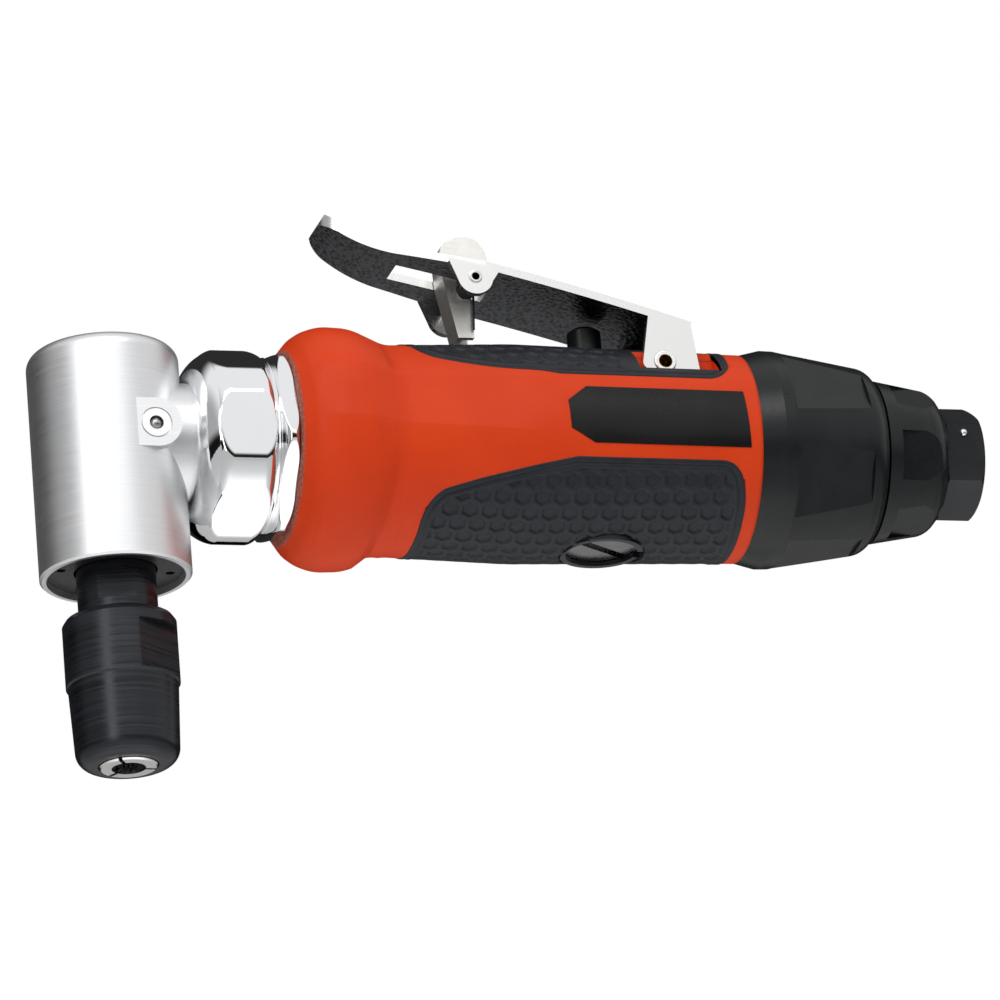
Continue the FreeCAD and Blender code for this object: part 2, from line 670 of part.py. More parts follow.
rotor = new_body("rotor")
spun(rotor, [(38.3, 2.05), (43.0, 2.05), (43.0, 0), (78.7, 0), (78.7, D["rotor_tail_radius"]),
             (D["cylinder_x1"] - 0.3, D["rotor_tail_radius"]),
             (D["cylinder_x1"] - 0.3, D["rotor_radius"]), (D["cylinder_x0"] + 0.3, D["rotor_radius"]),
             (D["cylinder_x0"] + 0.3, D["rotor_shaft_radius"]), (38.3, D["rotor_shaft_radius"])])
vane_slot = extruded(rotor, "YZ_Plane", [[(-0.8, 4.9), (0.8, 4.9), (0.8, 14), (-0.8, 14)]],
                     length + 2.0, offset=D["cylinder_x0"] - 1.0, cut=True, back=True)
around(rotor, vane_slot, "X_Axis", 4)
keep(rotor)

vanes = new_body("vanes")
vane = extruded(vanes, "YZ_Plane", [[(-0.75, 5.0), (0.75, 5.0), (0.75, 11.1), (-0.75, 11.1)]],
                length - 0.8, offset=D["cylinder_x0"] + 0.4)
around(vanes, vane, "X_Axis", 4)
vanes.AllowCompound = True
keep(vanes)

# ---------------------------------------------------------------- throttle valve
def on_valve(body):
    body.setExpression("Placement.Base.x", D["valve_x"].text)


bushing = new_body("plunger_bushing")
on_valve(bushing)
guide = D["plunger_radius"] + D["running_gap"]
spun(bushing, [(guide, 8.0), (D["valve_bore_radius"], 8.0), (D["valve_bore_radius"], 16.8),
               (4.6, 16.8), (4.6, 15.0), (guide, 15.0)], "V_Axis")
extruded(bushing, "YZ_Plane", [(0, 9.4, 1.2)], cut=True, both=True)
keep(bushing)

seal = new_body("plunger_seal")
on_valve(seal)
spun(seal, [(guide, 15.0), (4.6, 15.0), (4.6, 16.6), (guide, 16.6)], "V_Axis")
keep(seal)

plunger = new_body("valve_plunger")
on_valve(plunger)
stem = D["stem_radius"]
spun(plunger, [(0, 1.2), (3.9, 1.2), (4.2, 1.5), (4.2, 3.6), (stem, 3.6), (stem, 11.0),
               (D["plunger_radius"], 11.0), (D["plunger_radius"], D["plunger_top"] - 1.2),
               (0, D["plunger_top"], 4.35)], "V_Axis")
keep(plunger)

seat = new_body("valve_seat")
on_valve(seat)
spun(seat, [(2.6, 3.7), (3.4, 3.7), (3.8, 4.2), (D["valve_bore_radius"], 4.2),
            (D["valve_bore_radius"], 7.9), (2.6, 7.9)], "V_Axis")
keep(seat)


def coil(label, radius, wire, height, turns):
    """Open coil spring along local +Z, its wire's centre line starting at 0."""
    helix = Part.makeHelix(height / turns, height, radius)
    section = Part.Wire(Part.makeCircle(wire, Vector(radius, 0, 0), Vector(0, 1, 0)))
    feature = doc.addObject("Part::Feature", label)
    feature.Shape = Part.Wire(helix).makePipeShell([section], True, True)
    return feature


spring = coil("valve_spring", 3.2, 0.4, 9.5, 6)
spring.Placement.Base = apex + Vector(D["valve_x"].value, 0, -8.85)
keep(spring)

regulator = new_body("air_regulator")
on_valve(regulator)
knob = D["regulator_radius"]
spun(regulator, [(0, -17.3), (knob - 0.5, -17.3), (knob, -16.8), (knob, -15.3), (5.42, -15.3),
                 (5.42, -13.6), (4.5, -13.6), (4.5, -12.0), (5.42, -12.0), (5.42, -8.2),
                 (4.0, -8.2), (4.0, -9.4), (0, -9.4)], "V_Axis")
extruded(regulator, "XY_Plane", [[(-8, -0.9), (8, -0.9), (8, 0.9), (-8, 0.9)]], 1.0,
         offset=-17.3, cut=True, back=True)
regulator.Placement.Rotation = Rotation(Vector(0, 0, 1), 35)
keep(regulator)

regulator_seal = new_body("regulator_seal")
on_valve(regulator_seal)
spun(regulator_seal, [(4.5, -13.5), (5.46, -13.3), (5.46, -12.3), (4.5, -12.1)], "V_Axis")
keep(regulator_seal)

clip = new_body("regulator_clip")
on_valve(clip)
spun(clip, [(6.3, -18.2), (7.4, -18.2), (7.4, -17.4), (6.3, -17.4)], "V_Axis")
extruded(clip, "XY_Plane", [[(5, -1.4), (9, -1.4), (9, 1.4), (5, 1.4)]], 3.0, offset=-19.0,
         cut=True, back=True)
keep(clip)

# ---------------------------------------------------------------- throttle lever
lever = new_body("throttle_lever")
sheet_t = D["lever_sheet"].value
half_w = D["lever_half_width"]
# side view of the stamped sheet: underside out, top side back
extruded(lever, "XZ_Plane",
         [[(39.8, 40.9), (52.0, 34.1, 27.0), (104.0, 20.2, -520.0),
           (104.4, 20.2 + sheet_t), (52.3, 34.1 + sheet_t, 520.0 + sheet_t),
           (40.7, 40.9 + sheet_t, -25.6)]], half_w * 2, both=True)
paddle = [(39.0, 0, 10.0), (40.0, -3.6, 10.0), (42.6, -6.4, 4.5), (52.0, -8.0), (58.5, -9.2),
          (68.0, -10.75), (110, -10.75), (110, 10.75), (68.0, 10.75), (58.5, 9.2), (52.0, 8.0),
          (42.6, 6.4), (40.0, 3.6, 4.5)]
extruded(lever, "XY_Plane", [[(30, -20), (120, -20), (120, 20), (30, 20)], paddle], cut=True,
         both=True)
slot_w = D["slot_half_width"]
extruded(lever, "XY_Plane", [[(53.5, -slot_w), (70.2, -slot_w), (70.2, slot_w), (53.5, slot_w)]],
         60.0, cut=True, back=True)
REAR_EAR = [(96.6, 22.9), (95.0, 13.9), (96.2, 12.5, 1.4), (103.9, 11.6), (105.2, 12.8, 1.5),
            (104.2, 20.9)]
FRONT_EAR = [(60.9, 32.6), (62.55, 28.3), (68.75, 28.3, 3.2), (70.3, 30.6)]
for side in (-1, 1):
    face = half_w - D["lever_sheet"] if side < 0 else -half_w
    extruded(lever, "XZ_Plane", [REAR_EAR], D["lever_sheet"], offset=face)
    extruded(lever, "XZ_Plane", [FRONT_EAR], D["lever_sheet"], offset=face)
extruded(lever, "XZ_Plane",
         [(D["lever_pin_x"], D["lever_pin_z"], D["lever_pin_radius"] + D["running_gap"]),
          (D["latch_pin_x"], D["latch_pin_z"], D["latch_pin_radius"])], cut=True, both=True)
keep(lever)


def roll_pin(label, x, z, radius, inner, half_length):
    body = new_body(label)
    body.setExpression("Placement.Base.x", x.text)
    body.setExpression("Placement.Base.z", (D["axis_height"] + z).text)
    extruded(body, "XZ_Plane", [(0, 0, radius), (0, 0, inner)], half_length * 2, both=True)
    smoothed(body, ring_edge(radius=radius), 0.25)
    return keep(body)


roll_pin("lever_pin", D["lever_pin_x"], D["lever_pin_z"], D["lever_pin_radius"], 1.2, half_w + 0.3)
roll_pin("latch_pin", D["latch_pin_x"], D["latch_pin_z"], D["latch_pin_radius"], 0.7, half_w + 0.2)

latch = new_body("safety_latch")
wall = D["latch_sheet"]
latch_w = D["latch_half_width"]
cheek = [(64.0, 20.6), (66.9, 20.6), (66.9, 31.0), (69.8, 34.2), (69.6, 37.4, 2.6),
         (66.6, 39.5, 3.2), (62.5, 38.2, 5.0), (61.7, 35.6, 3.2), (61.95, 31.5)]
extruded(latch, "XZ_Plane", [cheek], latch_w * 2, both=True)
inner_w = latch_w - wall
extruded(latch, "XZ_Plane", [[(65.3, 19.0), (75.0, 19.0), (75.0, 42.0), (63.1, 42.0), (63.15, 31.5)]],
         inner_w * 2, cut=True, both=True)
extruded(latch, "XZ_Plane",
         [(D["latch_pin_x"], D["latch_pin_z"], D["latch_pin_radius"] + D["running_gap"])],
         cut=True, both=True)
keep(latch)


def torsion_spring(label, wire, radius, width):
    """Torsion spring wound on the latch pin (local Y), one arm down the latch's leg."""
    turns = 3
    helix = Part.makeHelix(width / turns, width, radius)
    section = Part.Wire(Part.makeCircle(wire, Vector(radius, 0, 0), Vector(0, 1, 0)))
    winding = Part.Wire(helix).makePipeShell([section], True, True)
    elbow = Part.makeSphere(wire * 1.15, Vector(radius, 0, 0))
    arm = Part.makeCylinder(wire, 7.2, Vector(radius, 0, 0), Vector(-0.06, -1, 0))
    feature = doc.addObject("Part::Feature", label)
    feature.Shape = winding.fuse([elbow, arm])
    return feature


latch_spring = torsion_spring("latch_spring", 0.22, 1.5, 2.6)
latch_spring.Placement = FreeCAD.Placement(
    apex + Vector(D["latch_pin_x"].value, -3.4, D["latch_pin_z"].value),
    Rotation(Vector(1, 0, 0), 90))
keep(latch_spring)

# ---------------------------------------------------------------- rear cap and inlet
cap = new_body("rear_cap")
bush_r = D["bushing_radius"]
spun(cap, [(D["handle_x1"], 16.4), (D["handle_x1"], 18.2), (117.6, D["cap_radius"]),
           (119.6, D["cap_radius"] - 0.05), (134.8, 16.6), (136.8, 15.5, -3.5),
           (D["cap_x1"], 14.6), (D["cap_x1"], bush_r + 0.02), (134.0, bush_r + 0.02),
           (134.0, 14.6), (116.0, 16.4)])
flat = extruded(cap, "XZ_Plane", [[(119.9, 17.75), (134.4, 16.05), (134.4, 22), (119.9, 22)]], 18.0,
                cut=True, both=True)
around(cap, flat, "X_Axis", 6)
vent = extruded(cap, "YZ_Plane", [(0, 11.6, 0.9)], 5.0, offset=133.5, cut=True, back=True)
around(cap, vent, "X_Axis", 12)
keep(cap)

muffler = tube("muffler", 116.1, 133.9, 14.4, bush_r + 0.3)
keep(muffler)

ring = new_body("exhaust_ring")
spun(ring, [(D["ring_x0"], bush_r + D["running_gap"]), (D["ring_x0"], D["ring_radius"]),
            (147.0, 12.9), (148.7, 11.9, -4.0), (D["ring_x1"], 10.4),
            (D["ring_x1"], bush_r + D["running_gap"])])
window = extruded(ring, "YZ_Plane", [[(-4.4, 12.45), (4.4, 12.45), (4.4, 16), (-4.4, 16)]], 10.0,
                  offset=140.4, cut=True, back=True)
around(ring, window, "X_Axis", 6)
slot = extruded(ring, "YZ_Plane", [[(-1.8, 9.8), (1.8, 9.8), (1.8, 11.4), (-1.8, 11.4)]], 13.0,
                offset=137.5, cut=True, back=True)
around(ring, slot, "X_Axis", 6)
ring.Placement.Rotation = Rotation(Vector(1, 0, 0), -16)
keep(ring)

inlet = new_body("inlet_bushing")
extruded(inlet, "YZ_Plane", [hexagon(D["inlet_hex_radius"], 6.0)], 7.0, offset=150.2)
spun(inlet, [(150.1, 10.6), (155.4, 10.6), (157.2, 8.0, -3.0), (158.0, 8.0), (158.0, 14),
             (150.1, 14)], cut=True)
spun(inlet, [(101.0, 0), (150.2, 0), (150.2, bush_r), (114.0, bush_r), (114.0, 9.4), (101.0, 9.4)])
spun(inlet, [(100.0, 0), (158.0, 0), (158.0, D["inlet_thread_radius"] + 0.8),
             (D["inlet_x1"], D["inlet_thread_radius"] + 0.8), (156.4, D["inlet_thread_radius"]),
             (143.5, D["inlet_thread_radius"]), (143.5, 5.0), (142.7, 5.0), (142.7, 4.2),
             (100.0, 4.2)], cut=True)
# groove for the seal, then the seat of the locking ball
spun(inlet, [(110.5, 8.5), (112.1, 8.5), (112.1, 12.0), (110.5, 12.0)], cut=True)
ball_x, ball_y, ball_z = 153.2, -9.2, 2.6
ball_r = 0.7
extruded(inlet, "XZ_Plane", [(ball_x, ball_z, ball_r)], 3.0,
         offset=-ball_y - ball_r - 0.1, cut=True, back=True)
keep(inlet)

screen = tube("inlet_screen", 142.7, 143.5, 5.0, 0.6)
mesh_hole = extruded(screen, "YZ_Plane", [(0, 2.1, 0.45), (0, 3.5, 0.5)], 2.0,
                     offset=142.0, cut=True, back=True)
around(screen, mesh_hole, "X_Axis", 10)
keep(screen)

keep(tube("inlet_seal", 110.6, 112.0, 9.5, 8.5))

lock_ball = doc.addObject("Part::Sphere", "lock_ball")
lock_ball.Radius = ball_r
lock_ball.Placement.Base = Vector(ball_x, ball_y, 0)
lock_ball.setExpression("Placement.Base.z", "dims.axis_height + %r" % ball_z)
keep(lock_ball)

# ---------------------------------------------------------------- check and export
doc.recompute()
os.makedirs("parts", exist_ok=True)
problems = []
for obj in doc.Objects:
    if "Invalid" in obj.State or "Error" in obj.State:
        problems.append("%s: %s" % (obj.Label, obj.State))
for name, obj in nodes.items():
    shape = obj.Shape
    if shape.isNull() or not shape.isValid() or not shape.Solids:
        problems.append("%s: bad shape" % name)
        continue
    shape.exportStep("parts/%s.step" % name)
    box = shape.optimalBoundingBox(False)
    print("%-22s solids %d volume %10.1f  x %7.2f %7.2f  y %7.2f %7.2f  z %7.2f %7.2f" % (
        name, len(shape.Solids), shape.Volume, box.XMin, box.XMax, box.YMin, box.YMax,
        box.ZMin, box.ZMax))
print("nodes", len(nodes))
if problems:
    raise SystemExit("\n".join(problems))
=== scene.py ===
import json
import math

import bmesh
import bpy
import numpy as np
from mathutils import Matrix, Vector


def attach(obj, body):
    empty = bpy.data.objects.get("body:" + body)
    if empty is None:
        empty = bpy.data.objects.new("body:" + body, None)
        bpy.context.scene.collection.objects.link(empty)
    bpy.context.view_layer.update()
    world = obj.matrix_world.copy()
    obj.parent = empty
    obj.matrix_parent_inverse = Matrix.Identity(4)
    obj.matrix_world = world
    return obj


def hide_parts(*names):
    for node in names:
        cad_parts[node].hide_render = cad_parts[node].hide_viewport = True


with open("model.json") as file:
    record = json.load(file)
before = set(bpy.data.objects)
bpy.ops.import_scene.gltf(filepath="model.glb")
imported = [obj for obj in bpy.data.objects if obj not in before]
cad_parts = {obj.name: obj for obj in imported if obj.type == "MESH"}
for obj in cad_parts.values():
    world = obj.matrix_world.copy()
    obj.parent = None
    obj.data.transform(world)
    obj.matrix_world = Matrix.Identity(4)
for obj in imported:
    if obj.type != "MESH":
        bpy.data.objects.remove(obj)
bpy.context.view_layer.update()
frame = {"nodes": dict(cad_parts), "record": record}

# Right-angle air die grinder, in metres. +Z up the spindle, +X along the handle to the air inlet.
MM = 0.001
scene = bpy.context.scene
scene.view_settings.view_transform = "Standard"
AXIS_Z = 59.5 * MM
VALVE_X = 87.7                # valve plunger above, air regulator below
PIN_X, PIN_Z = 99.0, 14.05    # lever's pivot pin, its height above the handle's axis


# ------------------------------------------------------------------ camera
def add_camera():
    azimuth, elevation, roll = math.radians(-16.46), math.radians(-20.05), math.radians(-4.48)
    aim = Vector((0.0710, 0.0031, 0.0521))
    back = Vector((math.sin(azimuth) * math.cos(elevation),
                   -math.cos(azimuth) * math.cos(elevation), math.sin(elevation)))
    data = bpy.data.cameras.new("camera")
    data.lens = 451
    data.sensor_width = 36
    data.clip_start, data.clip_end = 0.05, 50
    camera = bpy.data.objects.new("camera", data)
    scene.collection.objects.link(camera)
    camera.location = aim + back * 2.193
    camera.rotation_euler = (-back).to_track_quat("-Z", "Y").to_euler()
    camera.rotation_euler.rotate_axis("Z", roll)
    scene.camera = camera


add_camera()


# ------------------------------------------------------------------ materials
class Shader:
    """A principled material with short ways to add its nodes."""

    def __init__(self, name, **sockets):
        self.material = bpy.data.materials.new(name)
        self.material.use_nodes = True
        self.tree = self.material.node_tree
        self.main = self.tree.nodes["Principled BSDF"]
        self.coordinates = self.tree.nodes.new("ShaderNodeTexCoord")
        for key, value in sockets.items():
            self.main.inputs[key.replace("_", " ").title().replace("Ior", "IOR")].default_value = value

    def add(self, kind, links=None, **values):
        node = self.tree.nodes.new(kind)
        for key, value in values.items():
            setattr(node, key, value)
        for key, value in (links or {}).items():
            if isinstance(value, bpy.types.NodeSocket):
                self.tree.links.new(value, node.inputs[key])
            else:
                node.inputs[key].default_value = value
        return node

    def place(self, scale=(1, 1, 1), rotation=(0, 0, 0)):
        mapping = self.add("ShaderNodeMapping", {"Vector": self.coordinates.outputs["Object"]})
        mapping.inputs["Scale"].default_value = scale
        mapping.inputs["Rotation"].default_value = rotation
        return mapping.outputs["Vector"]

    def noise(self, scale, stretch=(1, 1, 1), detail=4.0, roughness=0.6):
        return self.add("ShaderNodeTexNoise", {"Vector": self.place(stretch), "Scale": scale,
                                               "Detail": detail, "Roughness": roughness}).outputs["Fac"]

    def mix(self, factor, first, second):
        node = self.add("ShaderNodeMix", data_type="RGBA")
        for socket, value in ((node.inputs[0], factor), (node.inputs[6], first), (node.inputs[7], second)):
            if isinstance(value, bpy.types.NodeSocket):
                self.tree.links.new(value, socket)
            elif isinstance(value, (int, float)):
                socket.default_value = value
            else:
                socket.default_value = (*value, 1.0)
        return node.outputs[2]

    def span(self, value, low, high, out_low=0.0, out_high=1.0):
        return self.add("ShaderNodeMapRange", {"Value": value, "From Min": low, "From Max": high,
                                               "To Min": out_low, "To Max": out_high}).outputs["Result"]

    def math(self, operation, first, second=0.0):
        return self.add("ShaderNodeMath", {0: first, 1: second}, operation=operation).outputs[0]

    def colour(self, value):
        self.tree.links.new(value, self.main.inputs["Base Color"])

    def rough(self, value):
        self.tree.links.new(value, self.main.inputs["Roughness"])

    def bump(self, height, distance, strength=1.0):
        links = {"Height": height, "Distance": distance, "Strength": strength}
        self.tree.links.new(self.add("ShaderNodeBump", links).outputs["Normal"], self.main.inputs["Normal"])

    def position(self):
        return self.add("ShaderNodeSeparateXYZ", {0: self.coordinates.outputs["Object"]}).outputs


def plain(name, light, dark, metallic, rough, grain, stretch=(1, 1, 1), depth=0.00002, **sockets):
    """Surface with fine grain: colour, gloss and relief all follow the same noise."""
    shader = Shader(name, metallic=metallic, **sockets)
    fine = shader.noise(grain, stretch)
    broad = shader.noise(grain / 14, stretch, 2.0)
    shader.colour(shader.mix(shader.span(broad, 0.35, 0.65), dark, light))
    shader.rough(shader.span(fine, 0.3, 0.7, rough[0], rough[1]))
    shader.bump(fine, depth)
    return shader


def cast_aluminium():
    shader = Shader("cast_aluminium", metallic=1.0)
    rings = shader.noise(3200, (0.02, 0.02, 1.0), 5.0, 0.7)
    sand = shader.noise(2600, detail=3.0)
    x = shader.position()["X"]
    neck = shader.span(x, 0.0105, 0.0135)
    grain = shader.mix(neck, rings, sand)
    value = shader.add("ShaderNodeSeparateColor", {0: grain}).outputs[0]
    shader.colour(shader.mix(shader.span(value, 0.3, 0.7), (0.72, 0.73, 0.74), (0.80, 0.80, 0.81)))
    shader.rough(shader.span(value, 0.3, 0.7, 0.36, 0.46))
    shader.bump(value, 0.00002, 0.4)
    return shader


def orange_plastic():
    shader = Shader("orange_plastic", specular_ior_level=0.14)
    fine = shader.noise(5200, detail=2.0)
    broad = shader.noise(60, detail=2.0)
    skin = shader.mix(shader.span(broad, 0.3, 0.7), (0.62, 0.042, 0.006), (0.68, 0.052, 0.008))
    # the front ring face, x below 30.9 mm, gets painted shade and a painted pinkish sheen: a darker, mottled
    # colour in place of the orange skin
    rim_sheen_mottle = shader.noise(2400, detail=6.0, roughness=0.8)
    rim = shader.mix(shader.span(rim_sheen_mottle, 0.42, 0.6), (0.22, 0.05, 0.035), (0.42, 0.16, 0.12))
    x = shader.position()["X"]
    shader.colour(shader.mix(shader.span(x, 0.0309, 0.0312), rim, skin))
    shader.rough(shader.span(fine, 0.3, 0.7, 0.40, 0.52))
    shader.bump(fine, 0.00002, 0.5)
    return shader


def lever_plate():
    """Bright edges and top; faces that point down get painted shade, a dark colour mottled by a hammered
    cell pattern.
    """
    shader = Shader("lever_plate", metallic=1.0)
    facing = shader.add("ShaderNodeSeparateXYZ", {0: shader.coordinates.outputs["Normal"]}).outputs["Z"]
    # mask of the faces that point down, which get painted shade instead of the bright plate colour
    under = shader.span(facing, -0.45, -0.65)
    cells = shader.add("ShaderNodeTexVoronoi", {"Vector": shader.place(), "Scale": 1100.0})
    cells = cells.outputs["Distance"]
    # painted shade for the underside: near-black, mottled by the hammered cells
    dark = shader.mix(shader.span(cells, 0.1, 0.6), (0.008, 0.008, 0.009), (0.070, 0.072, 0.078))
    shader.colour(shader.mix(under, (0.84, 0.84, 0.83), dark))
    shader.rough(shader.span(under, 0, 1, 0.24, 0.36))
    shader.bump(shader.math("MULTIPLY", cells, under), 0.0002, 0.7)
    return shader


def hollow_pin():
    """Bright rolled pin with a brassy bore."""
    shader = Shader("hollow_pin", metallic=1.0)
    parts = shader.position()
    dx = shader.math("SUBTRACT", parts["X"], PIN_X * MM)
    dz = shader.math("SUBTRACT", parts["Z"], AXIS_Z + PIN_Z * MM)
    distance = shader.math("SQRT", shader.math("ADD", shader.math("MULTIPLY", dx, dx),
                                               shader.math("MULTIPLY", dz, dz)))
    outside = shader.span(distance, 0.00122, 0.00132)
    fine = shader.noise(1800)
    brass = shader.mix(shader.span(fine, 0.3, 0.7), (0.62, 0.44, 0.18), (0.78, 0.60, 0.30))
    steel = shader.mix(shader.span(fine, 0.3, 0.7), (0.80, 0.80, 0.79), (0.90, 0.90, 0.89))
    shader.colour(shader.mix(outside, brass, steel))
    shader.rough(shader.span(fine, 0.3, 0.7, 0.22, 0.34))
    return shader


def black_steel():
    shader = Shader("black_steel", metallic=0.55, specular_ior_level=0.6)
    rings = shader.add("ShaderNodeTexNoise", {"Vector": shader.place((0.02, 0.02, 1.0)),
                                              "Scale": 2600.0, "Detail": 3.0}).outputs["Fac"]
    shader.colour(shader.mix(shader.span(rings, 0.3, 0.7), (0.008, 0.009, 0.012), (0.026, 0.028, 0.034)))
    shader.rough(shader.span(rings, 0.3, 0.7, 0.24, 0.40))
    shader.bump(rings, 0.00005, 0.6)
    return shader


LOOKS = {
    "cast_aluminium": cast_aluminium(),
    "chrome_plate": plain("chrome_plate", (0.90, 0.91, 0.92), (0.88, 0.89, 0.90), 1.0, (0.03, 0.07), 500,
                          depth=0.000004),
    "plated_steel": plain("plated_steel", (0.82, 0.82, 0.81), (0.70, 0.70, 0.69), 1.0, (0.14, 0.26), 1500),
    "black_oxide_steel": black_steel(),
    "bright_steel": plain("bright_steel", (0.80, 0.80, 0.79), (0.74, 0.74, 0.73), 1.0, (0.14, 0.26), 1800,
                          depth=0.000004),
    "orange_plastic": orange_plastic(),
    "grip_rubber": plain("grip_rubber", (0.017, 0.019, 0.024), (0.012, 0.014, 0.018), 0.0, (0.42, 0.56),
                         4200, depth=0.00003, specular_ior_level=0.25),
    "label_black": plain("label_black", (0.004, 0.004, 0.005), (0.007, 0.007, 0.008), 0.0, (0.24, 0.32),
                         900, depth=0.000004, specular_ior_level=0.25),
    "black_plastic": plain("black_plastic", (0.004, 0.005, 0.006), (0.007, 0.008, 0.009), 0.0, (0.26, 0.38),
                           3400, specular_ior_level=0.3),
    "seal_rubber": plain("seal_rubber", (0.02, 0.02, 0.02), (0.014, 0.014, 0.014), 0.0, (0.5, 0.6), 2500),
    "brass_bushing": plain("brass_bushing", (0.72, 0.52, 0.24), (0.60, 0.42, 0.18), 1.0, (0.2, 0.34), 1600),
    "iron_cylinder": plain("iron_cylinder", (0.30, 0.30, 0.31), (0.22, 0.22, 0.23), 1.0, (0.3, 0.5), 1600),
    "plate_aluminium": plain("plate_aluminium", (0.70, 0.71, 0.72), (0.60, 0.61, 0.62), 1.0, (0.3, 0.42),
                             1600),
    "vane_laminate": plain("vane_laminate", (0.36, 0.22, 0.12), (0.26, 0.15, 0.08), 0.0, (0.5, 0.7), 1200),
    "felt": plain("felt", (0.55, 0.55, 0.52), (0.42, 0.42, 0.40), 0.0, (0.85, 0.95), 2400, depth=0.0001),
}
NODE_LOOKS = {
    "throttle_lever": lever_plate(),
    "safety_latch": plain("latch_plate", (0.82, 0.81, 0.77), (0.74, 0.73, 0.69), 1.0, (0.40, 0.52), 2200),
    "lever_pin": hollow_pin(),
    "fitting_ball": plain("ball_steel", (0.42, 0.42, 0.43), (0.34, 0.34, 0.35), 1.0, (0.22, 0.32), 900),
    "grease_fitting": plain("turned_insert", (0.90, 0.90, 0.90), (0.84, 0.84, 0.84), 1.0, (0.36, 0.44),
                            2600),
    "air_regulator": plain("regulator_face", (0.30, 0.30, 0.31), (0.22, 0.22, 0.23), 1.0, (0.20, 0.30),
                           1600),
    "inlet_bushing": plain("inlet_black", (0.016, 0.017, 0.020), (0.010, 0.011, 0.013), 0.3, (0.30, 0.40),
                           2200, depth=0.000005, specular_ior_level=0.4),
    "bearing_retainer": plain("retainer_black", (0.012, 0.012, 0.013), (0.008, 0.008, 0.009), 0.2,
                              (0.35, 0.45), 1800),
}

slot_of = {part["node"]: part["material_slot"] for part in frame["record"]["subparts"]}
for name, obj in frame["nodes"].items():
    look = NODE_LOOKS.get(name) or LOOKS[slot_of[name]]
    obj.data.materials.clear()
    obj.data.materials.append(look.material)


# ------------------------------------------------------------------ handle surface
# sizes from here to the stage are in mm: x as in the frame, heights and radii from the handle's axis
PROFILE = [(30.6, 16.6), (33.3, 20.0), (37.2, 21.45), (42.4, 21.25), (48.8, 18.5), (72.0, 19.25),
           (113.4, 18.35)]
FRONT_X, REAR_X = PROFILE[0][0], PROFILE[-1][0]
FRONT_BORE, REAR_BORE = 15.05, 9.5
PLUNGER_HOLE, REGULATOR_HOLE = 3.5, 7.5     # radii of the holes in the rubber
BEHIND_GRIP = 0.1                           # how much wider the shell is open behind them
HOLE_END = 15.4                             # height at which the walls of both holes end
SNAP_REACH = 0.17                           # points this near to a hole's edge are moved onto it
NUT_BORE = 10.3
FAR = 99.0                                  # farther than anything on the handle


def profile_at(x):
    """Radius of the turned handle at x, its corners rounded away from the front edge."""
    reach = min(1.5, max(0.0, (x - 31.2) * 0.6))
    total = 0.0
    for step in range(-4, 5):
        total += np.interp(x + reach * step / 4, [p[0] for p in PROFILE], [p[1] for p in PROFILE])
    return total / 9


def ease(value, low, high):
    t = np.clip((value - low) / (high - low), 0, 1)
    return t * t * (3 - 2 * t)


def surface_radius(x, lift):
    """Handle radius in mm at x, and at lift degrees above the horizontal on either side."""
    base = profile_at(x)
    present = ease(x, 33.0, 36.0) * (1 - ease(x, 66.0, 78.0))
    ridge = np.interp(x, [30, 71], [-2.0, -7.4])
    facets = ((ridge, 25.0, 0.85), (25.0, 58.0, 0.75 * ease(x, 46.5, 48.5)))
    radius = base
    for start, end, strength in facets:
        middle, half = math.radians((start + end) / 2), math.radians((end - start) / 2)
        inside = np.abs(np.radians(lift) - middle) < half
        flat = base * math.cos(half) / np.cos(np.radians(lift) - middle)
        radius = np.where(inside, radius + (flat - base) * strength * present, radius)
    # groove round the waist, deep below and fading out up the sides
    centre = 47.6 - 1.6 * ease(-lift, 20, 90)
    depth = 0.85 * ease(-lift, 12, 55)
    return radius - depth * np.clip(1 - np.abs(x - centre) / 2.6, 0, 1)


def add_section(bm, x, around, offset):
    """Vertices on the handle at x: around in degrees from straight up, offset in mm outwards."""
    folded = np.abs((around + 180) % 360 - 180)
    radius = surface_radius(x, 90 - folded) + offset
    turn = np.radians(around)
    across, upward = -np.sin(turn) * radius * MM, np.cos(turn) * radius * MM + AXIS_Z
    return [bm.verts.new((x * MM, y, z)) for y, z in zip(across, upward)]


def add_circle(bm, x, around, radius):
    """Vertices at a radius from the handle's axis, either one radius or one for each angle."""
    radii = np.broadcast_to(radius, around.shape)
    return [bm.verts.new((x * MM, -math.sin(turn) * r * MM, math.cos(turn) * r * MM + AXIS_Z))
            for turn, r in zip(np.radians(around), radii)]


def grid_faces(columns, rows, closed):
    """Corner numbers of the faces between neighbouring sections of a skin."""
    faces = []
    for i in range(columns - 1):
        for j in range(rows if closed else rows - 1):
            k = (j + 1) % rows
            faces.append((i * rows + j, i * rows + k, (i + 1) * rows + k, (i + 1) * rows + j))
    return faces


def finish_piece(name, bm, replaced, slot):
    """Turn the bmesh into a piece of the handle that stands for a CAD node."""
    bmesh.ops.recalc_face_normals(bm, faces=bm.faces)
    mesh = bpy.data.meshes.new(name)
    bm.to_mesh(mesh)
    bm.free()
    mesh.shade_smooth()
    obj = bpy.data.objects.new(name, mesh)
    scene.collection.objects.link(obj)
    mesh.materials.append(LOOKS[slot].material)
    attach(obj, "handle")
    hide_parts(replaced)


